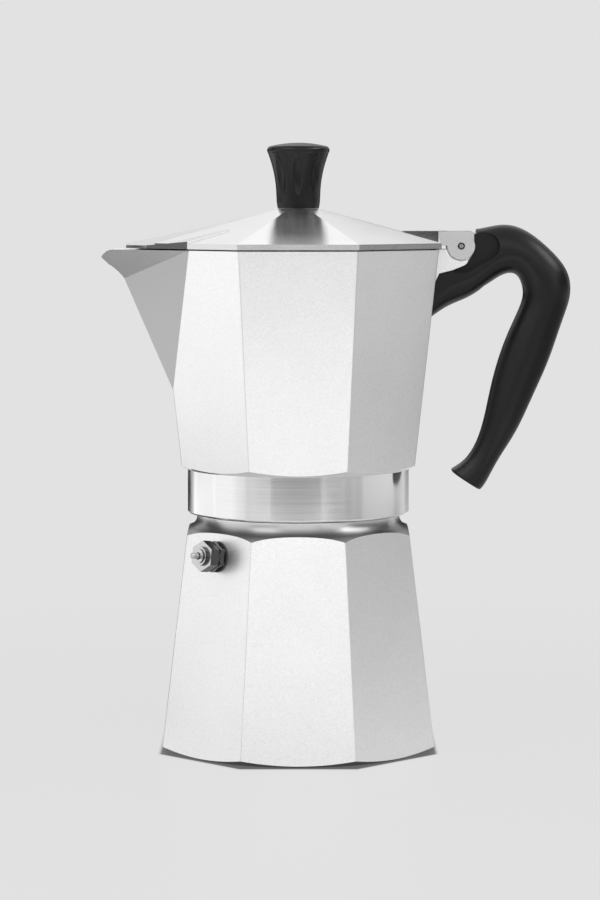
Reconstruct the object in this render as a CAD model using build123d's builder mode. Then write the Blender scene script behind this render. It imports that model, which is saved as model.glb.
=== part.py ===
from build123d import *
import os
from math import atan, cos, sin

os.makedirs("parts", exist_ok=True)

# Moka pot, nine-cup size, millimetres. It stands on z = 0 with its axis on Z.
# The spout points to -X, the handle to +X, and a flat of the octagon faces -Y.

# ---------------------------------------------------------------- driving dimensions
facets = 8
facet_turn = 180 / facets
edge_radius = 0.7

# Boiler
boiler_base_apothem = 56.2
boiler_taper = 0.118
boiler_wall = 3.4
neck_radius = 42.0
neck_top = 110.0
mouth_radius = 38.0
floor_thickness = 3.5

# Screw thread between boiler and collector
thread_pitch = 3.0
thread_turns = 1.2
male_root = 41.3
male_crest = 42.6
female_root = 42.9
female_crest = 41.6
male_thread_base = 101.2

# Collector
skirt_radius = 45.9
skirt_bottom = 97.7
collector_base = 116.6
collector_base_apothem = 47.5
rim_height = 206.5
rim_apothem = 57.0
collector_wall = 2.8
collector_floor = 121.5
ledge_height = 114.8

# Lid and hinge
lid_bottom = 207.1
lid_edge = 209.3
lid_apothem = 58.1
lid_top = 223.2
pin_x = 66.8
pin_z = 207.9
pin_radius = 1.4
knuckle_radius = 5.6
tongue_radius = 5.6
tab_top = 213.9
ear_end = 72.0
fork_start = 60.8
bracket_half_width = 10.0
tongue_half_width = 5.8
tang_half_width = 3.5

# Valve, on the facet that faces -X and -Y
valve_height = 82.5
hex_flats = 11.0
stem_radius = 1.15

# Column and brewing parts
column_top = 183.0
bore_radius = 4.4
column_foot_radius = 11.0
basket_radius = 37.0
sheet = 0.8


def boiler_apothem(z):
    return boiler_base_apothem - boiler_taper * z


def collector_apothem(z):
    slope = (rim_apothem - collector_base_apothem) / (rim_height - collector_base)
    return collector_base_apothem + slope * (z - collector_base)


def octagon_frustum(z_low, apothem_low, z_high, apothem_high, edge_radius=0):
    """An octagonal frustum with a flat towards -Y, its slanting edges rounded if asked."""
    with BuildPart() as frustum:
        for z, apothem in ((z_low, apothem_low), (z_high, apothem_high)):
            with BuildSketch(Plane.XY.offset(z)):
                RegularPolygon(apothem, facets, major_radius=False, rotation=facet_turn)
        loft(ruled=True)
        if edge_radius:
            fillet(frustum.edges().filter_by(lambda edge: abs(edge.tangent_at(0.5).Z) > 0.5), edge_radius)
    return frustum.part


def helical_ridge(z_base, root, crest, root_width, crest_width):
    """A trapezoidal thread ridge that starts at z_base on the +X side."""
    sunk = 0.25 if crest > root else -0.25
    path = Helix(pitch=thread_pitch, height=thread_pitch * thread_turns, radius=root, center=(0, 0, z_base))
    with BuildPart() as ridge:
        with BuildSketch(Plane.XZ):
            with BuildLine():
                Polyline(
                    (root - sunk, z_base - root_width / 2),
                    (root, z_base - root_width / 2),
                    (crest, z_base - crest_width / 2),
                    (crest, z_base + crest_width / 2),
                    (root, z_base + root_width / 2),
                    (root - sunk, z_base + root_width / 2),
                    close=True,
                )
            make_face()
        sweep(path=path, is_frenet=True)
    return ridge.part


def perforated_disc(radius, z, hole_radius, rings, spacing):
    """A thin round plate with rings of holes."""
    with BuildPart() as disc:
        with BuildSketch(Plane.XY.offset(z)):
            Circle(radius)
            Circle(hole_radius, mode=Mode.SUBTRACT)
            for ring in range(1, rings + 1):
                with PolarLocations(ring * spacing, ring * 6):
                    Circle(hole_radius, mode=Mode.SUBTRACT)
        extrude(amount=sheet - 0.1)
    return disc


# ---------------------------------------------------------------- valve frame
# Square to the facet that faces -X and -Y, with its origin on the wall
valve_tilt = atan(boiler_taper)
valve_reach = boiler_apothem(valve_height)
diagonal = 0.5**0.5
valve_plane = Plane(
    origin=(-valve_reach * diagonal, -valve_reach * diagonal, valve_height),
    x_dir=(1, -1, 0),
    z_dir=(-diagonal * cos(valve_tilt), -diagonal * cos(valve_tilt), sin(valve_tilt)),
)

# ---------------------------------------------------------------- boiler
boiler_facets = octagon_frustum(0, boiler_apothem(0), neck_top, boiler_apothem(neck_top), edge_radius)
male_ridge = helical_ridge(male_thread_base, male_root, male_crest, 1.9, 0.9)
wall_inside = boiler_apothem(86) - boiler_wall

with BuildPart() as boiler:
    add(boiler_facets)
    # Turned outside: base chamfer, round shoulder and neck
    with BuildSketch(Plane.XZ):
        with BuildLine():
            Polyline((0, 0), (54.5, 0), (62, 3.57), (51.0, 87.9))
            ThreePointArc((51.0, 87.9), (48.2, 90.5), (44.6, 92.1))
            ThreePointArc((44.6, 92.1), (42.7, 93.8), (neck_radius, 97.0))
            Polyline((neck_radius, 97.0), (male_root, 97.6), (male_root, neck_top))
            Polyline((male_root, neck_top), (0, neck_top), (0, 0))
        make_face()
    revolve(axis=Axis.Z, mode=Mode.INTERSECT)
    add(male_ridge)
    # Round water chamber
    with BuildSketch(Plane.XZ):
        with BuildLine():
            Line((0, floor_thickness), (46.5, floor_thickness))
            ThreePointArc((46.5, floor_thickness), (50.1, 5.0), (51.5, 8.5))
            Line((51.5, 8.5), (wall_inside, 86))
            ThreePointArc((wall_inside, 86), (41.4, 90.4), (mouth_radius, 94.0))
            Polyline((mouth_radius, 94.0), (mouth_radius, neck_top + 1), (0, neck_top + 1))
            Line((0, neck_top + 1), (0, floor_thickness))
        make_face()
    revolve(axis=Axis.Z, mode=Mode.SUBTRACT)
    # Hole for the valve
    with BuildSketch(valve_plane.offset(1)):
        Circle(4.45)
    extrude(amount=-13, mode=Mode.SUBTRACT)
boiler.part.label = "boiler"
export_step(boiler.part, "parts/boiler.step")

# ---------------------------------------------------------------- valve
with BuildPart() as valve_washer:
    with BuildSketch(valve_plane.offset(0.02)):
        Circle(6.3)
        Circle(4.45, mode=Mode.SUBTRACT)
    extrude(amount=0.76)
valve_washer.part.label = "valve_washer"
export_step(valve_washer.part, "parts/valve_washer.step")

with BuildPart() as valve_body:
    # Two hexagons with a groove between them
    for start, height in ((0.8, 2.8), (4.4, 4.4)):
        with BuildSketch(valve_plane.offset(start)):
            RegularPolygon(hex_flats / 2, 6, major_radius=False, rotation=30)
        extrude(amount=height)
    # Shank, groove, collar and mouth ring: start along the axis, length, radius
    for start, length, radius in ((-6.0, 6.9, 4.35), (3.5, 1.0, 5.2), (8.7, 1.5, 3.9), (10.1, 0.7, 2.9)):
        with BuildSketch(valve_plane.offset(start)):
            Circle(radius)
        extrude(amount=length)
    # Spring chamber and the hole for the stem
    with BuildSketch(valve_plane.offset(-6.0)):
        Circle(3.05)
    extrude(amount=14.0, mode=Mode.SUBTRACT)
    with BuildSketch(valve_plane.offset(7.0)):
        Circle(1.5)
    extrude(amount=5.0, mode=Mode.SUBTRACT)
valve_body.part.label = "valve_body"
export_step(valve_body.part, "parts/valve_body.step")

with BuildPart() as valve_retainer:
    with BuildSketch(valve_plane.offset(-6.0)):
        Circle(3.0)
        Circle(1.5, mode=Mode.SUBTRACT)
    extrude(amount=2.0)
valve_retainer.part.label = "valve_retainer"
export_step(valve_retainer.part, "parts/valve_retainer.step")

with BuildPart() as valve_seal:
    with BuildSketch(valve_plane.offset(-3.98)):
        Circle(2.5)
    extrude(amount=0.96)
valve_seal.part.label = "valve_seal"
export_step(valve_seal.part, "parts/valve_seal.step")

with BuildPart() as valve_stem:
    with BuildSketch(valve_plane.offset(-3.0)):
        Circle(2.6)
    extrude(amount=1.0)
    with BuildSketch(valve_plane.offset(-2.0)):
        Circle(stem_radius)
    extrude(amount=16.2)
    fillet(valve_stem.faces().sort_by(Axis(valve_plane.origin, valve_plane.z_dir))[-1].edges(), 0.5)
valve_stem.part.label = "valve_stem"
export_step(valve_stem.part, "parts/valve_stem.step")

spring_path = Helix(pitch=2.1, height=8.8, radius=2.1, center=(0, 0, -1.4))
with BuildPart() as spring_coil:
    with BuildSketch(Plane(origin=spring_path @ 0, z_dir=spring_path % 0)):
        Circle(0.35)
    sweep(path=spring_path, is_frenet=True)
valve_spring = valve_plane.location * spring_coil.part
valve_spring.label = "valve_spring"
export_step(valve_spring, "parts/valve_spring.step")

# ---------------------------------------------------------------- funnel
flange_bottom = neck_top + 0.05
flange_top = neck_top + 0.95
cup_bottom = 76.0
cone_bottom = 66.0
tube_radius = 5.4

with BuildPart() as funnel_basket:
    with BuildSketch(Plane.XZ):
        with BuildLine():
            Polyline(
                (tube_radius + 0.1, cone_bottom - 6),
                (tube_radius + 0.1 + sheet, cone_bottom - 6),
                (tube_radius + 0.1 + sheet, cone_bottom),
                (basket_radius, cup_bottom - 0.3),
                (basket_radius, flange_bottom),
                (40.6, flange_bottom),
                (40.6, flange_top),
                (basket_radius - sheet, flange_top),
                (basket_radius - sheet, cup_bottom + 0.3),
                (tube_radius + 0.1, cone_bottom + 1),
                close=True,
            )
        make_face()
    revolve(axis=Axis.Z)
funnel_basket.part.label = "funnel_basket"
export_step(funnel_basket.part, "parts/funnel_basket.step")

funnel_screen = perforated_disc(basket_radius - sheet - 0.1, cup_bottom + 0.4, 0.8, 5, 6.4)
funnel_screen.part.label = "funnel_screen"
export_step(funnel_screen.part, "parts/funnel_screen.step")

with BuildPart() as funnel_tube:
    with BuildSketch(Plane.XY.offset(9)):
        Circle(tube_radius)
        Circle(tube_radius - sheet, mode=Mode.SUBTRACT)
    extrude(amount=cone_bottom - 9)
funnel_tube.part.label = "funnel_tube"
export_step(funnel_tube.part, "parts/funnel_tube.step")

# ---------------------------------------------------------------- gasket and filter plate
with BuildPart() as gasket:
    with BuildSketch(Plane.XY.offset(neck_top + 1.05)):
        Circle(41.2)
        Circle(33.0, mode=Mode.SUBTRACT)
    extrude(amount=2.85)
    fillet(gasket.edges().filter_by(GeomType.CIRCLE), 0.5)
gasket.part.label = "gasket"
export_step(gasket.part, "parts/gasket.step")

filter_plate = perforated_disc(38.0, ledge_height - 0.78, 0.8, 5, 5.6)
filter_plate.part.label = "filter_plate"
export_step(filter_plate.part, "parts/filter_plate.step")

# ---------------------------------------------------------------- collector
# The spout is folded out of the jug: two flat flanks that start at the corners of the -X facet,
# a flat keel between them, and a flared beak above the crease where the flanks end.
keel_foot = (-51.0, 149.5)
crease_foot = (-71.9, 194.5)
spout_corner = (-43.9, 36.7)
beak_tip = -85.15
flank_tip = -73.0
flank_lean = 0.093
flank_back = (161.0, 203.3)
spout_wall_shift = 3.4


def flanks(shift):
    """Everything between the spout's two flat flanks, which run on into the jug."""
    with BuildPart() as wedge:
        for z in (110.0, 215.0):
            tip = flank_tip - flank_lean * (z - rim_height) + shift
            back = tip + flank_back[0]
            with BuildSketch(Plane.XY.offset(z)):
                with BuildLine():
                    Polyline((tip, 0), (back, -flank_back[1]), (back, flank_back[1]), close=True)
                make_face()
        loft(ruled=True)
    return wedge.part


def beak(shift, z_top):
    """The flared top of the spout, growing from the crease's foot to a V at the rim."""
    foot_x, foot_z = crease_foot
    rise = (z_top - foot_z) / (rim_height - foot_z)
    tip = foot_x + (beak_tip - foot_x) * rise + shift
    corner_x = foot_x + (spout_corner[0] - foot_x) * rise + shift
    corner_y = spout_corner[1] * rise
    with BuildSketch(Plane.XY.offset(z_top)) as plan:
        with BuildLine():
            Polyline((tip, 0), (corner_x, -corner_y), (corner_x, corner_y), close=True)
        make_face()
    with BuildPart() as wedge:
        loft([plan.sketch, Vertex(foot_x + shift, 0, foot_z)])
    return wedge.part


def spout(shift, z_top):
    """The spout's outside with shift 0, or its channel with a shift towards the jug."""
    with BuildPart() as horn:
        add(flanks(shift))
        add(beak(shift, z_top))
        with BuildSketch(Plane.XZ):
            with BuildLine():
                Line((keel_foot[0] + shift, keel_foot[1]), (crease_foot[0] + shift, crease_foot[1]))
                ThreePointArc((crease_foot[0] + shift, crease_foot[1]), (-75.6 + shift, 198.4), (-80.8 + shift, 201.6))
                if shift:
                    Polyline((-80.8 + shift, 201.6), (-82 + shift, z_top), (spout_corner[0] + shift, z_top))
                else:
                    Line((-80.8, 201.6), (-81.3, 203.4))
                    ThreePointArc((-81.3, 203.4), (-79.2, 205.5), (-75.2, rim_height))
                    Line((-75.2, rim_height), (spout_corner[0], rim_height))
                Line((spout_corner[0] + shift, z_top), (keel_foot[0] + shift, keel_foot[1]))
            make_face()
        extrude(amount=45, both=True, mode=Mode.INTERSECT)
    return horn.part


# The handle's screw goes square into the handle's underside and up into the bracket.
screw_plane = Plane(origin=(77.0, 0, 191.4), x_dir=(0, 1, 0), z_dir=(-0.5, 0, 0.866))
bracket_underside = ((54.6, 190), (57.7, 196.7), (63, 198), (67.8, 199.9), (69.3, 201.0))

jug_outside = octagon_frustum(114.0, collector_apothem(114.0), rim_height, rim_apothem, edge_radius)
jug_inside = octagon_frustum(
    collector_floor,
    collector_apothem(collector_floor) - collector_wall,
    rim_height + 4,
    collector_apothem(rim_height + 4) - collector_wall,
)
spout_outside = spout(0, rim_height)
spout_channel = spout(spout_wall_shift, rim_height + 4)
female_ridge = helical_ridge(male_thread_base - thread_pitch / 2, female_root, female_crest, 1.5, 0.6)

with BuildPart() as collector:
    # Octagonal jug on a turned cone, and the round skirt below it
    add(jug_outside)
    add(flanks(0), mode=Mode.INTERSECT)
    with BuildSketch(Plane.XZ):
        with BuildLine():
            Polyline((0, 114), (41.9, 114), (64, 124.2), (64, rim_height), (0, rim_height), close=True)
        make_face()
    revolve(axis=Axis.Z, mode=Mode.INTERSECT)
    with BuildSketch(Plane.XY.offset(skirt_bottom)):
        Circle(skirt_radius)
    extrude(amount=collector_floor - 2.5 - skirt_bottom)
    fillet(collector.edges().group_by(Axis.Z)[0], 0.8)
    add(spout_outside)
    # Hinge bracket: a base with a round recess for the lid's knuckles, a tongue and a tang
    with BuildSketch(Plane.XZ):
        with BuildLine():
            Polyline(*bracket_underside, (69.3, 202.0), (69.3, rim_height), (54.6, rim_height), close=True)
        make_face()
        with Locations((pin_x, pin_z)):
            Circle(knuckle_radius + 0.6, mode=Mode.SUBTRACT)
    extrude(amount=bracket_half_width, both=True)
    with BuildSketch(Plane.XZ):
        with Locations((pin_x, pin_z)):
            Circle(tongue_radius)
        with BuildLine():
            Polyline((59, 200), (69.3, 201.2), (72.0, 205.8), (pin_x, pin_z), (61.2, pin_z - 1.4), (59, 206.3), close=True)
        make_face()
    extrude(amount=tongue_half_width, both=True)
    with BuildSketch(Plane.XZ):
        with Locations((73.5, 202.3)):
            Rectangle(13, 5.4)
    extrude(amount=tang_half_width, both=True)
    # Pin hole and the threaded hole of the handle's screw
    with BuildSketch(Plane.XZ):
        with Locations((pin_x, pin_z)):
            Circle(pin_radius + 0.02)
    extrude(amount=bracket_half_width + 1, both=True, mode=Mode.SUBTRACT)
    with BuildSketch(screw_plane.offset(7)):
        Circle(1.95)
    extrude(amount=8, mode=Mode.SUBTRACT)
    # Hollow jug and spout channel
    add(jug_inside & flanks(spout_wall_shift), mode=Mode.SUBTRACT)
    add(spout_channel, mode=Mode.SUBTRACT)
    # Threaded socket, ledge, underside cone and the opening that the column's foot fills
    with BuildSketch(Plane.XZ):
        with BuildLine():
            Polyline(
                (0, skirt_bottom - 1),
                (female_root + 1, skirt_bottom - 1),
                (female_root + 1, skirt_bottom),
                (female_root, skirt_bottom + 1),
                (female_root, ledge_height),
                (36, ledge_height),
                (column_foot_radius, 117.8),
                (column_foot_radius, collector_floor + 1),
                (0, collector_floor + 1),
                close=True,
            )
        make_face()
    revolve(axis=Axis.Z, mode=Mode.SUBTRACT)
    add(female_ridge)
collector.part.label = "collector"
export_step(collector.part, "parts/collector.step")

with BuildPart() as column:
    with BuildSketch(Plane.XZ):
        with BuildLine():
            Polyline(
                (bore_radius, 118.6),
                (column_foot_radius, 117.8),
                (column_foot_radius, collector_floor),
                (8.5, collector_floor + 4),
                (6.6, column_top - 3.2),
                (5.6, column_top - 3.2),
                (5.6, column_top),
                (bore_radius, column_top),
                close=True,
            )
        make_face()
    revolve(axis=Axis.Z)
column.part.label = "column"
export_step(column.part, "parts/column.step")

with BuildPart() as column_cap:
    with BuildSketch(Plane.XZ):
        with BuildLine():
            Line((0, column_top - 3), (6.7, column_top - 3))
            Line((6.7, column_top - 3), (6.4, column_top + 4.5))
            ThreePointArc((6.4, column_top + 4.5), (4.6, column_top + 6.6), (0, column_top + 7.4))
            Line((0, column_top + 7.4), (0, column_top - 3))
        make_face()
    revolve(axis=Axis.Z)
    with BuildSketch(Plane.XY.offset(column_top - 3)):
        Circle(5.65)
    extrude(amount=8, mode=Mode.SUBTRACT)
    # Side openings
    with BuildSketch(Plane.XZ):
        with Locations((0, column_top + 2.8)):
            SlotOverall(9, 4.6)
    extrude(amount=10, both=True, mode=Mode.SUBTRACT)
column_cap.part.label = "column_cap"
export_step(column_cap.part, "parts/column_cap.step")

# ---------------------------------------------------------------- lid
def faceted_cap(edge, drop, foot):
    """The lid's rim band and eight flat facets: edge apothem, drop below the outside, foot height."""
    with BuildPart() as cap:
        for z, apothem in ((foot, edge), (lid_edge - drop, edge), (lid_top - drop, 8.5)):
            with BuildSketch(Plane.XY.offset(z)):
                RegularPolygon(apothem, facets, major_radius=False, rotation=facet_turn)
        loft(ruled=True)
    return cap.part


def spout_cover(inset, drop, foot):
    """A gabled cover over the spout, its ridge falling towards the tip."""
    with BuildPart() as cover:
        for x in (-28.0, -75.0):
            ridge = 214.4 + 0.2126 * (x + 45.0) - drop
            with BuildSketch(Plane.YZ.offset(x)):
                with BuildLine():
                    Polyline((-45, 190), (45, 190), (45, ridge - 5.3), (0, ridge), (-45, ridge - 5.3), close=True)
                make_face()
        loft(ruled=True)
        with BuildSketch(Plane.XY.offset(foot)):
            with BuildLine():
                Polyline(
                    (-28, -30),
                    (-44.4 + 1.4 * inset, -37.2),
                    (-62.0 + 1.3 * inset, -20.5),
                    (-70.8 + inset, -5.5),
                    (-70.8 + inset, 5.5),
                    (-62.0 + 1.3 * inset, 20.5),
                    (-44.4 + 1.4 * inset, 37.2),
                    (-28, 30),
                    close=True,
                )
            make_face()
        extrude(amount=20, mode=Mode.INTERSECT)
    return cover.part


lid_outside = faceted_cap(lid_apothem, 0, lid_bottom)
lid_inside = faceted_cap(lid_apothem - 3.2, 2.0, lid_bottom - 1)
cover_outside = spout_cover(0, 0, lid_bottom)
cover_inside = spout_cover(2.2, 2.0, lid_bottom - 1)
tab_start = 43.0

with BuildPart() as lid:
    add(lid_outside)
    add(cover_outside)
    add(lid_inside, mode=Mode.SUBTRACT)
    add(cover_inside, mode=Mode.SUBTRACT)
    # Raised tab that runs out to the hinge
    with BuildSketch(Plane.XZ):
        with BuildLine():
            Polyline(
                (tab_start, tab_top - 1.6),
                (tab_start, tab_top),
                (57.5, tab_top),
                (57.5, lid_bottom),
                (55.5, lid_bottom),
                (55.5, lid_edge),
                close=True,
            )
        make_face()
    extrude(amount=7.6, both=True)
    # Ears with a square upper corner and a round knuckle, and the fork between them
    with BuildSketch(Plane.XZ):
        with BuildLine():
            Polyline(
                (57.0, lid_bottom + 0.9),
                (pin_x - knuckle_radius, lid_bottom + 0.9),
                (pin_x, pin_z),
                (ear_end, pin_z),
                (ear_end, tab_top),
                (57.0, tab_top),
                close=True,
            )
        make_face()
        with Locations((pin_x, pin_z)):
            Circle(knuckle_radius)
    extrude(amount=bracket_half_width, both=True)
    fillet(lid.edges().filter_by(Axis.Y).sort_by_distance((ear_end, 0, tab_top))[:1], 0.9)
    with BuildSketch(Plane.XZ):
        with Locations((fork_start + 10, pin_z)):
            Rectangle(20, 20)
        with Locations((60.0, 202.0)):
            Rectangle(8, 12)
    extrude(amount=tongue_half_width + 0.3, both=True, mode=Mode.SUBTRACT)
    # Pin hole, screw hole and the seat of the knob
    with BuildSketch(Plane.XZ):
        with Locations((pin_x, pin_z)):
            Circle(pin_radius + 0.1)
    extrude(amount=bracket_half_width + 1, both=True, mode=Mode.SUBTRACT)
    with BuildSketch(Plane.XY.offset(lid_top - 6)):
        Circle(2.2)
    extrude(amount=10, mode=Mode.SUBTRACT)
lid.part.label = "lid"
export_step(lid.part, "parts/lid.step")

with BuildPart() as hinge_pin:
    with BuildSketch(Plane.XZ.offset(-bracket_half_width - 0.3)):
        with Locations((pin_x, pin_z)):
            Circle(pin_radius)
    extrude(amount=2 * bracket_half_width + 0.6)
    fillet(hinge_pin.edges().filter_by(GeomType.CIRCLE), 0.25)
hinge_pin.part.label = "hinge_pin"
export_step(hinge_pin.part, "parts/hinge_pin.step")

# ---------------------------------------------------------------- knob
knob_bottom = lid_top + 0.1
knob_top = 250.2
with BuildPart() as flute:
    with BuildSketch(Plane.XZ):
        with BuildLine():
            ThreePointArc((0, -12.4), (3.3, 0), (0, 12.4))
            Line((0, 12.4), (0, -12.4))
        make_face()
    revolve(axis=Axis.Z)

with BuildPart() as knob:
    with BuildSketch(Plane.XZ):
        with BuildLine():
            Line((0, knob_bottom), (8.5, knob_bottom))
            Line((8.5, knob_bottom), (8.9, knob_bottom + 2.4))
            ThreePointArc((8.9, knob_bottom + 2.4), (9.95, 235.8), (12.5, 246.0))
            ThreePointArc((12.5, 246.0), (12.8, 247.6), (11.9, 248.7))
            TangentArc((0, knob_top), (11.9, 248.7), tangent=(1, 0))
            Line((0, knob_top), (0, knob_bottom))
        make_face()
    revolve(axis=Axis.Z)
    with PolarLocations(0, 8):
        with Locations(Location((12.3, 0, 236.2), (0, 9, 0))):
            add(flute.part, mode=Mode.SUBTRACT)
    with BuildSketch(Plane.XY.offset(knob_bottom)):
        Circle(3.05)
    extrude(amount=13, mode=Mode.SUBTRACT)
knob.part.label = "knob"
export_step(knob.part, "parts/knob.step")

with BuildPart() as knob_insert:
    with BuildSketch(Plane.XY.offset(knob_bottom + 0.1)):
        Circle(3.0)
        Circle(2.0, mode=Mode.SUBTRACT)
    extrude(amount=11)
knob_insert.part.label = "knob_insert"
export_step(knob_insert.part, "parts/knob_insert.step")

washer_top = lid_top - 2.05
with BuildPart() as knob_washer:
    with BuildSketch(Plane.XY.offset(washer_top - 0.8)):
        Circle(5.5)
        Circle(2.2, mode=Mode.SUBTRACT)
    extrude(amount=0.8)
knob_washer.part.label = "knob_washer"
export_step(knob_washer.part, "parts/knob_washer.step")


def screw(head_radius, head_height, length, slot_width):
    """A pan-head screw, its head's bearing face on z = 0 and its shank upwards."""
    with BuildPart() as fastener:
        with BuildSketch(Plane.XY.offset(-head_height)):
            Circle(head_radius)
        extrude(amount=head_height)
        with BuildSketch(Plane.XY):
            Circle(1.9)
        extrude(amount=length)
        fillet(fastener.edges().group_by(Axis.Z)[0], 0.6)
        with BuildSketch(Plane.XY.offset(-head_height)):
            Rectangle(slot_width, 3 * head_radius)
        extrude(amount=1.1, mode=Mode.SUBTRACT)
    return fastener.part


knob_screw = Pos(0, 0, washer_top - 0.85) * screw(4.0, 2.2, 13.0, 1.2)
knob_screw.label = "knob_screw"
export_step(knob_screw, "parts/knob_screw.step")

# ---------------------------------------------------------------- handle
# Cross-sections from the jug over the bend to the foot: the side-view point on the finger side,
# the one on the outer side, and half the width across.
handle_sections = (
    ((48.0, 179.6), (48.0, 209.0), 8.8),
    ((60.0, 182.0), (59.0, 212.4), 9.0),
    ((70.2, 186.8), (70.6, 214.7), 9.4),
    ((78.5, 192.3), (80.0, 216.0), 9.8),
    ((86.4, 196.6), (91.5, 215.2), 10.2),
    ((91.2, 194.6), (102.6, 207.4), 10.5),
    ((92.8, 189.8), (110.4, 198.2), 10.5),
    ((92.3, 185.0), (112.2, 187.8), 10.3),
    ((88.9, 176.7), (108.4, 175.0), 10.1),
    ((85.0, 167.5), (104.0, 162.0), 9.9),
    ((78.8, 144.9), (94.4, 140.0), 9.3),
    ((74.0, 126.9), (85.9, 124.4), 8.2),
    ((70.8, 121.2), (82.2, 118.4), 8.1),
    ((67.2, 117.6), (79.0, 112.4), 8.5),
    ((63.0, 114.9), (75.2, 106.9), 9.0),
)
handle_clearance = octagon_frustum(150.0, collector_apothem(150.0) + 0.2, 230.0, collector_apothem(230.0) + 0.2)

with BuildPart() as handle:
    for inner, outer, half_width in handle_sections:
        across = Vector(outer[0] - inner[0], 0, outer[1] - inner[1])
        middle = ((inner[0] + outer[0]) / 2, 0, (inner[1] + outer[1]) / 2)
        normal = across.cross(Vector(0, 1, 0))
        with BuildSketch(Plane(origin=middle, x_dir=across, z_dir=normal)):
            RectangleRounded(across.length, 2 * half_width, 0.47 * min(across.length, 2 * half_width))
    loft()
    # Soft edge on the foot
    fillet(handle.faces().sort_by(Axis.Z)[0].edges(), 0.8)
    # Room for the jug, the bracket's tongue and the swinging tab
    add(handle_clearance, mode=Mode.SUBTRACT)
    with BuildSketch(Plane.XZ):
        with BuildLine():
            Polyline(
                (50, 189.0),
                (54.5, 189.0),
                (57.9, 196.4),
                (63.1, 197.7),
                (68.0, 199.6),
                (69.6, 200.8),
                (72.4, 205.8),
                (71.1, 212.0),
                (73.4, 213.0),
                (73.4, 222),
                (50, 222),
                close=True,
            )
        make_face()
        with Locations((pin_x, pin_z)):
            Circle(tongue_radius + 0.3)
    extrude(amount=20, both=True, mode=Mode.SUBTRACT)
    # Side pockets in which the lid's ears swing
    for side in (1, -1):
        with BuildSketch(Plane.XZ.offset(side * (tongue_half_width - 0.2))):
            with BuildLine():
                Line((64, 222), (77.0, 213.2))
                ThreePointArc((77.0, 213.2), (82.5, 208.8), (79.8, 203.0))
                Polyline((79.8, 203.0), (69.0, 196.9), (64, 196.9), (64, 222))
            make_face()
        extrude(amount=side * 10, mode=Mode.SUBTRACT)
    # Slot for the tang, and the screw's hole
    with BuildSketch(Plane.XZ):
        with Locations((73.4, 202.3)):
            Rectangle(14, 5.8)
    extrude(amount=tang_half_width + 0.2, both=True, mode=Mode.SUBTRACT)
    with BuildSketch(screw_plane.offset(-4)):
        Circle(3.7)
    extrude(amount=6.5, mode=Mode.SUBTRACT)
    with BuildSketch(screw_plane):
        Circle(2.1)
    extrude(amount=14, mode=Mode.SUBTRACT)
handle.part.label = "handle"
export_step(handle.part, "parts/handle.step")

handle_screw = screw_plane.offset(2.48).location * screw(3.5, 2.3, 11.3, 1.0)
handle_screw.label = "handle_screw"
export_step(handle_screw, "parts/handle_screw.step")
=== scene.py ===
import bpy
from math import cos, pi, radians, sin
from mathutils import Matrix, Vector


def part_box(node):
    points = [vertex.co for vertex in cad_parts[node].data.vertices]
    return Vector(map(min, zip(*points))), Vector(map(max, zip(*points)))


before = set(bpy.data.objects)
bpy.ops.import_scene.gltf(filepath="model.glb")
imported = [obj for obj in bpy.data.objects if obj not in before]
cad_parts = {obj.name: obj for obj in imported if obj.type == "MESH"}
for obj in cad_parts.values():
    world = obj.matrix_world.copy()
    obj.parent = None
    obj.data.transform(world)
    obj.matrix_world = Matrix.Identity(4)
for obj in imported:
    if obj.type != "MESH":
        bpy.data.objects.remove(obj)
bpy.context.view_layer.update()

MM = 0.001

# Places on and round the pot where a finish or a painted shade changes
pin_low, pin_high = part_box("hinge_pin")
PIN_X = (pin_low[0] + pin_high[0]) / 2
PIN_Z = (pin_low[2] + pin_high[2]) / 2
PIN_RADIUS = (pin_high[0] - pin_low[0]) / 2
PIN_RING = 0.45 * MM
FLANK_START_X = -43 * MM
COVER_START_X = -44.5 * MM
COVER_TIP_X = -61.9 * MM
TAB_START_X = 40 * MM
EARS_START_X = 57.4 * MM
LID_RIM_Z = 209.35 * MM
SKIRT_TOP_Z = 118.9 * MM
SKIRT_LIMIT_RADIUS = 46.6 * MM
SHOULDER_Z = 88 * MM
NECK_Z = 93 * MM
SHADE_LOW_Z, SHADE_HIGH_Z = 92.5 * MM, 97.4 * MM
POLISH_START_Z = 96.0 * MM
CONTACT_INSIDE, CONTACT_OUTSIDE = 56.2 * MM, 58.0 * MM

# Parts of a unit normal that sort the facets
UPRIGHT = 0.3
DOWNWARD = -0.5
FLANK_OUTWARD = -0.742
FLANK_SIDEWAYS = 0.4
FLANK_LOWEST = -0.3
EDGE_ANGLE = radians(9)
HALF_FACET_TURN = pi / 8
DIAGONAL = cos(pi / 4)

TURNED_ANISOTROPY = 0.85
FINE_DEPTH = 0.00008
GRAIN_DEPTH = 0.0001
PEEL_DEPTH = 0.0004
BACKDROP = 0.760


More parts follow.
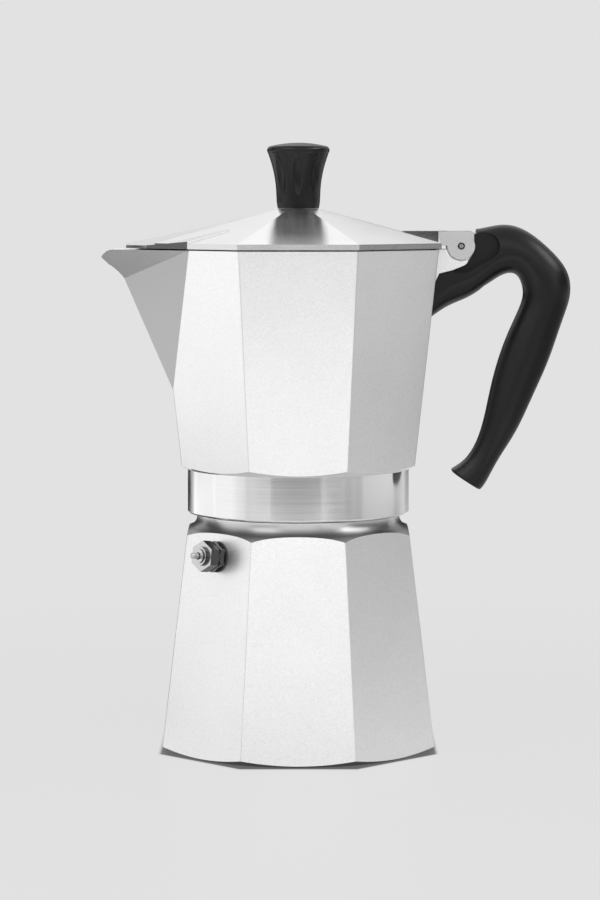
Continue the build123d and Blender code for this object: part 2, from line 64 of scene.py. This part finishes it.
# ---------------------------------------------------------------- node helpers
class Shader:
    """A Principled material with short calls for its procedural nodes."""

    def __init__(self, name, **sockets):
        self.material = bpy.data.materials.new(name)
        self.material.use_nodes = True
        self.tree = self.material.node_tree
        self.bsdf = self.tree.nodes["Principled BSDF"]
        self.coord = self.tree.nodes.new("ShaderNodeTexCoord")
        for socket, value in sockets.items():
            self.bsdf.inputs[socket.replace("_", " ")].default_value = value

    def link(self, source, target):
        self.tree.links.new(source, target)

    def feed(self, value, target):
        """Links a node's output to a socket, or sets a plain number on it."""
        if hasattr(value, "is_linked"):
            self.link(value, target)
        else:
            target.default_value = value

    def position(self, scale=(1, 1, 1)):
        mapping = self.tree.nodes.new("ShaderNodeMapping")
        mapping.inputs["Scale"].default_value = scale
        self.link(self.coord.outputs["Object"], mapping.inputs["Vector"])
        return mapping.outputs["Vector"]

    def noise(self, scale, stretch=(1, 1, 1), detail=2.0, roughness=0.5):
        noise = self.tree.nodes.new("ShaderNodeTexNoise")
        noise.inputs["Scale"].default_value = scale
        noise.inputs["Detail"].default_value = detail
        noise.inputs["Roughness"].default_value = roughness
        self.link(self.position(stretch), noise.inputs["Vector"])
        return noise.outputs["Fac"]

    def math(self, operation, a, b=0.0):
        node = self.tree.nodes.new("ShaderNodeMath")
        node.operation = operation
        self.feed(a, node.inputs[0])
        self.feed(b, node.inputs[1])
        return node.outputs[0]

    def both(self, a, b):
        """1 where both masks are 1."""
        return self.math("MULTIPLY", a, b)

    def either(self, a, b):
        """1 where one of two masks is 1."""
        return self.math("MAXIMUM", a, b)

    def ramp(self, value, low, high, from_low=0.3, from_high=0.7):
        """value mapped from a range to low..high, clamped."""
        node = self.tree.nodes.new("ShaderNodeMapRange")
        self.link(value, node.inputs["Value"])
        self.feed(from_low, node.inputs["From Min"])
        self.feed(from_high, node.inputs["From Max"])
        self.feed(low, node.inputs["To Min"])
        self.feed(high, node.inputs["To Max"])
        return node.outputs["Result"]

    def blend(self, mask, a, b):
        """Number a where mask is 0, b where it is 1."""
        return self.ramp(mask, a, b, 0.0, 1.0)

    def grey(self, value):
        node = self.tree.nodes.new("ShaderNodeCombineColor")
        for socket in node.inputs:
            self.link(value, socket)
        return node.outputs[0]

    def tint(self, value, dark, light):
        """A colour between dark and light."""
        node = self.tree.nodes.new("ShaderNodeMix")
        node.data_type = "RGBA"
        node.inputs["A"].default_value = (*dark, 1)
        node.inputs["B"].default_value = (*light, 1)
        self.link(value, node.inputs["Factor"])
        return node.outputs["Result"]

    def part_of(self, output, name):
        split = self.tree.nodes.new("ShaderNodeSeparateXYZ")
        self.link(self.coord.outputs[output], split.inputs[0])
        return split.outputs[name]

    def axis(self, name):
        """A coordinate in the object's frame."""
        return self.part_of("Object", name)

    def normal(self, name):
        """A part of the surface's own normal, in the object's frame."""
        return self.part_of("Normal", name)

    def radius(self):
        """Distance from the pot's axis."""
        flat = self.tree.nodes.new("ShaderNodeVectorMath")
        flat.operation = "LENGTH"
        self.link(self.position((1, 1, 0)), flat.inputs[0])
        return flat.outputs["Value"]

    def octagon_distance(self):
        """Distance from the pot's axis, measured square to the nearest of its eight sides."""
        across, along = (self.math("ABSOLUTE", self.axis(name)) for name in "XY")
        corner = self.math("MULTIPLY", self.math("ADD", across, along), DIAGONAL)
        return self.math("MAXIMUM", self.math("MAXIMUM", across, along), corner)

    def octagon_edge(self):
        """1 on the rounded edges between two upright facets."""
        heading = self.math("ARCTAN2", self.normal("Y"), self.normal("X"))
        off_facet = self.math("PINGPONG", heading, HALF_FACET_TURN)
        upright = self.math("LESS_THAN", self.math("ABSOLUTE", self.normal("Z")), UPRIGHT)
        return self.both(self.math("GREATER_THAN", off_facet, EDGE_ANGLE), upright)

    def spout_flank(self):
        """1 on the two flat flanks of the spout."""
        outward = self.math("LESS_THAN", self.normal("X"), FLANK_OUTWARD)
        sideways = self.math("GREATER_THAN", self.math("ABSOLUTE", self.normal("Y")), FLANK_SIDEWAYS)
        level = self.math("GREATER_THAN", self.normal("Z"), FLANK_LOWEST)
        beyond = self.math("LESS_THAN", self.axis("X"), FLANK_START_X)
        return self.both(self.both(outward, sideways), self.both(level, beyond))

    def turned(self, amount):
        """Brushed round the pot's axis: reflections stretch along the surface's meridian."""
        around = self.tree.nodes.new("ShaderNodeVectorMath")
        around.operation = "CROSS_PRODUCT"
        around.inputs[0].default_value = (0, 0, 1)
        self.link(self.position((1, 1, 0)), around.inputs[1])
        meridian = self.tree.nodes.new("ShaderNodeVectorMath")
        meridian.operation = "CROSS_PRODUCT"
        self.link(around.outputs["Vector"], meridian.inputs[0])
        self.link(self.coord.outputs["Normal"], meridian.inputs[1])
        self.link(meridian.outputs["Vector"], self.bsdf.inputs["Tangent"])
        self.feed(amount, self.bsdf.inputs["Anisotropic"])

    def colour(self, value):
        self.link(value, self.bsdf.inputs["Base Color"])

    def rough(self, value):
        self.link(value, self.bsdf.inputs["Roughness"])

    def bump(self, height, strength, distance):
        """Adds a bump on top of the ones before it."""
        node = self.tree.nodes.new("ShaderNodeBump")
        node.inputs["Strength"].default_value = strength
        node.inputs["Distance"].default_value = distance
        self.link(height, node.inputs["Height"])
        before = self.bsdf.inputs["Normal"].links
        if before:
            self.link(before[0].from_socket, node.inputs["Normal"])
        self.link(node.outputs["Normal"], self.bsdf.inputs["Normal"])


# ---------------------------------------------------------------- materials
def cast_aluminium(name, turned_mask):
    """Fine-grained satin facets, with turned bright zones where the mask is 1.

    The rounded edges between facets are a darker grey. The spout's flanks carry painted shade, and so
    does the turned metal below the band: shoulder, lower neck and underside.
    """
    s = Shader(name, Metallic=1.0)
    mask = turned_mask(s)
    grain = s.noise(1500, detail=3.0, roughness=0.65)
    cloud = s.noise(38)
    lines = s.noise(1.0, stretch=(12, 12, 3600))
    satin_grey = s.math("ADD", s.ramp(grain, 0.83, 0.95), s.ramp(cloud, -0.012, 0.012))
    satin_grey = s.blend(s.octagon_edge(), satin_grey, 0.66)
    # Painted shade: the spout's flat flanks get a darker grey.
    satin_grey = s.blend(s.spout_flank(), satin_grey, s.ramp(grain, 0.49, 0.54))
    # Painted shade: turned metal darkens below the band, on the shoulder, the lower neck and the
    # underside.
    shoulder_shade = s.ramp(s.axis("Z"), 0.36, 1.0, SHADE_LOW_Z, SHADE_HIGH_Z)
    turned_grey = s.math("MULTIPLY", s.ramp(lines, 0.76, 0.80), shoulder_shade)
    s.colour(s.grey(s.blend(mask, satin_grey, turned_grey)))
    satin_rough = s.ramp(grain, 0.36, 0.44)
    turned_rough = s.ramp(s.axis("Z"), 0.34, s.ramp(lines, 0.14, 0.16), POLISH_START_Z, SHADE_HIGH_Z)
    s.rough(s.blend(mask, satin_rough, turned_rough))
    s.turned(s.blend(mask, 0.0, TURNED_ANISOTROPY))
    s.bump(s.blend(mask, grain, s.math("MULTIPLY", lines, 0.25)), 0.07, GRAIN_DEPTH)
    return s.material


def collector_zones(s):
    """1 on the round skirt and its cone."""
    low = s.math("LESS_THAN", s.axis("Z"), SKIRT_TOP_Z)
    slim = s.math("LESS_THAN", s.radius(), SKIRT_LIMIT_RADIUS)
    cone = s.math("LESS_THAN", s.normal("Z"), DOWNWARD)
    return s.both(low, s.either(slim, cone))


def boiler_zones(s):
    """1 on the turned shoulder, neck and base."""
    high = s.math("GREATER_THAN", s.axis("Z"), SHOULDER_Z)
    shoulder = s.both(high, s.math("GREATER_THAN", s.normal("Z"), UPRIGHT))
    neck = s.math("GREATER_THAN", s.axis("Z"), NECK_Z)
    base = s.math("LESS_THAN", s.normal("Z"), DOWNWARD)
    return s.either(base, s.either(neck, shoulder))


def sheet_aluminium():
    """Bright sheet spun round the axis, with painted shade on the side walls: mid grey in general and
    on the ears, near black over the spout cover and by the hinge tab.
    """
    s = Shader("sheet_aluminium", Metallic=1.0)
    grain = s.noise(1800, detail=3.0)
    spun = s.noise(60)
    wall = s.math("LESS_THAN", s.normal("Z"), UPRIGHT)
    past_corner = s.math("LESS_THAN", s.axis("X"), COVER_START_X)
    over_spout = s.both(past_corner, s.math("GREATER_THAN", s.axis("X"), COVER_TIP_X))
    by_hinge = s.math("GREATER_THAN", s.axis("X"), TAB_START_X)
    above_rim = s.math("GREATER_THAN", s.axis("Z"), LID_RIM_Z)
    ear = s.math("GREATER_THAN", s.axis("X"), EARS_START_X)
    # Painted shade: side walls over the spout cover, and by the hinge tab above the rim, go near black.
    painted_shade_walls = s.both(wall, s.either(over_spout, s.both(by_hinge, above_rim)))
    # Painted shade: side walls are a darker grey than the top.
    plain = s.blend(wall, s.ramp(grain, 0.82, 0.88), s.ramp(grain, 0.62, 0.68))
    shaded = s.blend(painted_shade_walls, plain, s.ramp(grain, 0.07, 0.13))
    # The ears' walls take back a mid grey, like the painted wall shade.
    s.colour(s.grey(s.blend(s.both(wall, ear), shaded, s.ramp(grain, 0.60, 0.70))))
    s.rough(s.ramp(spun, 0.20, 0.24))
    s.turned(TURNED_ANISOTROPY)
    s.bump(grain, 0.04, GRAIN_DEPTH)
    return s.material


def nickel():
    """Nickel with painted shade on the flats; the faces square to the valve's axis stay brighter."""
    s = Shader("nickel", Metallic=1.0)
    lines = s.noise(3000)
    facing = s.math("MULTIPLY", s.math("ADD", s.normal("X"), s.normal("Y")), -DIAGONAL)
    face = s.ramp(facing, 0.0, 1.0, 0.86, 0.95)
    # Painted shade: the flats are near black, and the faces square to the axis stay bright.
    painted_shade_flats = s.ramp(lines, 0.06, 0.11)
    s.colour(s.grey(s.blend(face, painted_shade_flats, s.ramp(lines, 0.50, 0.60))))
    s.rough(s.ramp(lines, 0.16, 0.28))
    s.bump(lines, 0.06, FINE_DEPTH)
    return s.material


def turned_metal(name, scale, dark, light, smooth, coarse):
    """Small turned parts with fine lines between two tints and two roughnesses."""
    s = Shader(name, Metallic=1.0)
    lines = s.noise(scale)
    s.colour(s.tint(lines, dark, light))
    s.rough(s.ramp(lines, smooth, coarse))
    s.bump(lines, 0.05, FINE_DEPTH)
    return s.material


def pin_steel():
    """Steel with a painted shade ring, near black, where the pin meets the ears."""
    s = Shader("pin_steel", Metallic=1.0)
    lines = s.noise(4000)
    across = s.math("POWER", s.math("SUBTRACT", s.axis("X"), PIN_X), 2.0)
    up = s.math("POWER", s.math("SUBTRACT", s.axis("Z"), PIN_Z), 2.0)
    from_centre = s.math("SQRT", s.math("ADD", across, up))
    # Painted shade: a near-black ring at the pin's edge.
    painted_shade_ring = s.math("GREATER_THAN", from_centre, PIN_RADIUS - PIN_RING)
    s.colour(s.grey(s.blend(painted_shade_ring, s.ramp(lines, 0.30, 0.40), s.ramp(lines, 0.01, 0.02))))
    s.rough(s.ramp(lines, 0.2, 0.34))
    s.bump(lines, 0.05, FINE_DEPTH)
    return s.material


def phenolic():
    """Black moulded resin, satin, with a fine orange-peel grain."""
    s = Shader("phenolic", Specular_IOR_Level=0.3)
    grain = s.noise(1500, detail=3.0)
    peel = s.noise(420, detail=1.0)
    s.colour(s.tint(grain, (0.003, 0.003, 0.0035), (0.007, 0.007, 0.0075)))
    s.rough(s.ramp(grain, 0.30, 0.40))
    s.bump(grain, 0.22, GRAIN_DEPTH)
    s.bump(peel, 0.05, PEEL_DEPTH)
    return s.material


def rubber(name, dark, light):
    """Matt moulded rubber."""
    s = Shader(name)
    grain = s.noise(900, detail=3.0)
    s.colour(s.tint(grain, dark, light))
    s.rough(s.ramp(grain, 0.5, 0.62))
    s.bump(grain, 0.1, GRAIN_DEPTH)
    return s.material


sheet_metal = sheet_aluminium()
nickel_with_painted_shade = nickel()
bright_steel = turned_metal("steel", 4000, (0.42, 0.42, 0.43), (0.56, 0.56, 0.57), 0.2, 0.34)
yellow_brass = turned_metal("brass", 2500, (0.72, 0.52, 0.24), (0.84, 0.65, 0.34), 0.2, 0.32)
black_resin = phenolic()
pale_silicone = rubber("silicone", (0.74, 0.72, 0.68), (0.84, 0.82, 0.78))
black_rubber = rubber("dark_rubber", (0.012, 0.012, 0.012), (0.025, 0.025, 0.025))
ringed_steel = pin_steel()
collector_metal = cast_aluminium("collector_aluminium", collector_zones)
boiler_metal = cast_aluminium("boiler_aluminium", boiler_zones)

finishes = {
    boiler_metal: ["boiler"],
    collector_metal: ["collector", "column", "column_cap"],
    sheet_metal: ["lid", "funnel_basket", "funnel_screen", "funnel_tube", "filter_plate"],
    nickel_with_painted_shade: ["valve_body"],
    bright_steel: ["valve_stem", "valve_spring", "handle_screw", "knob_screw", "knob_washer"],
    yellow_brass: ["valve_retainer", "knob_insert"],
    black_resin: ["knob", "handle"],
    ringed_steel: ["hinge_pin"],
    black_rubber: ["valve_washer", "valve_seal"],
    pale_silicone: ["gasket"],
}
for material, names in finishes.items():
    for name in names:
        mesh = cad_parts[name].data
        mesh.materials.clear()
        mesh.materials.append(material)


# ---------------------------------------------------------------- floor
def stage_object(name, mesh, material):
    mesh.materials.append(material)
    obj = bpy.data.objects.new(name, mesh)
    bpy.context.scene.collection.objects.link(obj)
    return obj


def floor_material():
    """Pale matt floor with a painted contact shadow round the pot's foot, that fades into the backdrop.
    """
    s = Shader("floor", Roughness=0.32, Specular_IOR_Level=0.35)
    speck = s.noise(30)
    pale = s.ramp(speck, 0.84, 0.85)
    # Painted contact shadow: the floor's colour goes near black round the foot.
    s.colour(s.grey(s.ramp(s.octagon_distance(), 0.10, pale, CONTACT_INSIDE, CONTACT_OUTSIDE)))
    glow = s.tree.nodes.new("ShaderNodeEmission")
    glow.inputs["Color"].default_value = (BACKDROP, BACKDROP, BACKDROP, 1)
    mix = s.tree.nodes.new("ShaderNodeMixShader")
    # The painted contact shadow also lowers the floor's glow round the foot.
    contact = s.ramp(s.octagon_distance(), 0.15, 1.0, CONTACT_INSIDE, CONTACT_OUTSIDE)
    fade = s.ramp(s.radius(), 0.9, 1.0, 0.1, 0.5)
    s.link(s.math("MINIMUM", contact, fade), mix.inputs[0])
    s.link(s.bsdf.outputs[0], mix.inputs[1])
    s.link(glow.outputs[0], mix.inputs[2])
    s.link(mix.outputs[0], s.tree.nodes["Material Output"].inputs["Surface"])
    return s.material


def build_floor(radius=40.0, segments=96, level=-0.0002):
    turns = [2 * pi * i / segments for i in range(segments)]
    ring = [(radius * cos(turn), radius * sin(turn), level) for turn in turns]
    mesh = bpy.data.meshes.new("floor")
    mesh.from_pydata(ring, [], [tuple(range(segments))])
    stage_object("floor", mesh, floor_material())


build_floor()


# ---------------------------------------------------------------- studio
CARD_LEVEL = 0.004
RING_LEVEL = 0.006


def light_card(name, corners, radiance):
    """A glowing or dark panel that shows only in glossy reflections."""
    material = bpy.data.materials.new(name)
    material.use_nodes = True
    tree = material.node_tree
    tree.nodes.clear()
    glow = tree.nodes.new("ShaderNodeEmission")
    glow.inputs["Color"].default_value = (radiance, radiance, radiance, 1)
    out = tree.nodes.new("ShaderNodeOutputMaterial")
    tree.links.new(glow.outputs[0], out.inputs["Surface"])
    mesh = bpy.data.meshes.new(name)
    mesh.from_pydata(corners, [], [tuple(range(len(corners)))])
    card = stage_object(name, mesh, material)
    card.visible_camera = False
    card.visible_diffuse = False
    card.visible_shadow = False


def floor_polygon(name, outline, radiance):
    light_card(name, [(x, y, CARD_LEVEL) for x, y in outline], radiance)


def floor_card(name, x_range, y_range, radiance):
    (x0, x1), (y0, y1) = x_range, y_range
    floor_polygon(name, [(x0, y0), (x1, y0), (x1, y1), (x0, y1)], radiance)


def ring_card(name, headings, radii, radiance, steps=8):
    """A strip of an annulus on the floor. Headings run from the front towards the right, in degrees."""
    start, end = headings
    angles = [radians(start + (end - start) * i / steps) for i in range(steps + 1)]
    inner = [(radii[0] * sin(a), -radii[0] * cos(a), RING_LEVEL) for a in angles]
    outer = [(radii[1] * sin(a), -radii[1] * cos(a), RING_LEVEL) for a in reversed(angles)]
    light_card(name, inner + outer, radiance)


def wall_card(name, start, end, z_range, radiance):
    """An upright card over the line from start to end."""
    low, high = z_range
    light_card(name, [(*start, low), (*end, low), (*end, high), (*start, high)], radiance)


# Cards light a facet from its mirror direction, and flags darken what is beside it
wall_card("front_card", (-0.9, -1.9), (0.75, -1.9), (0.215, 1.7), 1.42)
wall_card("front_flag", (-1.0, -1.9), (0.8, -1.9), (0.0, 0.21), 0.02)
floor_card("front_floor_card", (-0.42, 0.36), (-0.75, -0.3), 1.5)
floor_card("front_floor_flag", (-0.8, 0.8), (-1.88, -0.76), 0.02)
wall_card("right_front_card", (0.95, -1.7), (1.45, -0.95), (0.3, 1.0), 1.6)
wall_card("right_high_card", (1.3, -0.9), (1.3, 0.1), (0.85, 1.7), 6.0)
wall_card("left_card", (-1.3, -0.9), (-1.3, 0.19), (0.02, 1.3), 1.2)
wall_card("left_flag", (-1.3, 0.2), (-1.3, 1.1), (0.06, 1.3), 0.08)
wall_card("left_low_strip", (-1.3, 0.2), (-1.3, 1.1), (0.0, 0.058), 1.4)
left_card_outline = [(-1.29, -0.42), (-0.35, -0.35), (-0.35, 0.02), (-1.29, 0.184)]
floor_polygon("left_floor_card", left_card_outline, 1.16)
left_flag_outline = [(-1.29, 0.186), (-0.12, -0.02), (-0.12, 0.45), (-0.7, 0.45), (-1.29, 1.1)]
floor_polygon("left_floor_flag", left_flag_outline, 0.15)
ring_card("left_back_strip", (-94, -138), (0.62, 1.28), 1.45)
wall_card("right_card", (1.3, -0.7), (1.3, 0.9), (0.11, 0.84), 0.12)
wall_card("right_strip", (1.3, -0.5), (1.3, 0.6), (0.0, 0.1), 1.05)
floor_card("right_floor_strip", (0.85, 1.29), (-0.45, 0.6), 1.05)
floor_card("right_floor_flag", (0.37, 0.95), (-0.75, -0.61), 0.03)
floor_card("right_floor_card", (0.37, 0.84), (-0.6, 0.5), 0.26)
wall_card("back_left_flag", (-1.2, 1.2), (-0.06, 1.3), (0.0, 0.42), 0.03)
wall_card("back_right_flag", (0.06, 1.3), (0.9, 1.2), (0.0, 0.42), 0.03)
floor_card("back_left_floor_flag", (-0.6, -0.05), (0.75, 1.19), 0.03)
floor_card("back_right_floor_flag", (0.05, 0.6), (0.75, 1.19), 0.5)
wall_card("back_high_card", (-1.2, 1.6), (1.2, 1.6), (0.95, 2.2), 1.2)
wall_card("back_left_card", (-1.4, 1.61), (0.0, 1.61), (0.5, 0.94), 0.78)
wall_card("back_right_card", (0.02, 1.61), (1.4, 1.61), (0.5, 0.94), 0.54)

world = bpy.data.worlds.new("studio")
bpy.context.scene.world = world
world.use_nodes = True
background = world.node_tree.nodes["Background"]
background.inputs["Color"].default_value = (BACKDROP, BACKDROP, BACKDROP, 1)
background.inputs["Strength"].default_value = 1.0

key = bpy.data.lights.new("key", "AREA")
key.shape = "RECTANGLE"
key.size, key.size_y = 0.8, 0.8
key.energy = 6.0
key_place, key_aim = Vector((-0.9, -1.0, 1.3)), Vector((0, 0, 0.12))
key_lamp = bpy.data.objects.new("key", key)
key_lamp.location = key_place
key_lamp.rotation_euler = (key_aim - key_place).to_track_quat("-Z", "Y").to_euler()
bpy.context.scene.collection.objects.link(key_lamp)

# ---------------------------------------------------------------- camera
CAMERA_TILT = 4.824
camera_data = bpy.data.cameras.new("camera")
camera_data.lens = 122.55
camera_data.sensor_width = 36.0
camera = bpy.data.objects.new("camera", camera_data)
camera.location = (0.0007, -1.2675, 0.2302)
camera.rotation_euler = (radians(90 - CAMERA_TILT), 0, 0)
bpy.context.scene.collection.objects.link(camera)
bpy.context.scene.camera = camera
bpy.context.scene.view_settings.view_transform = "Standard"
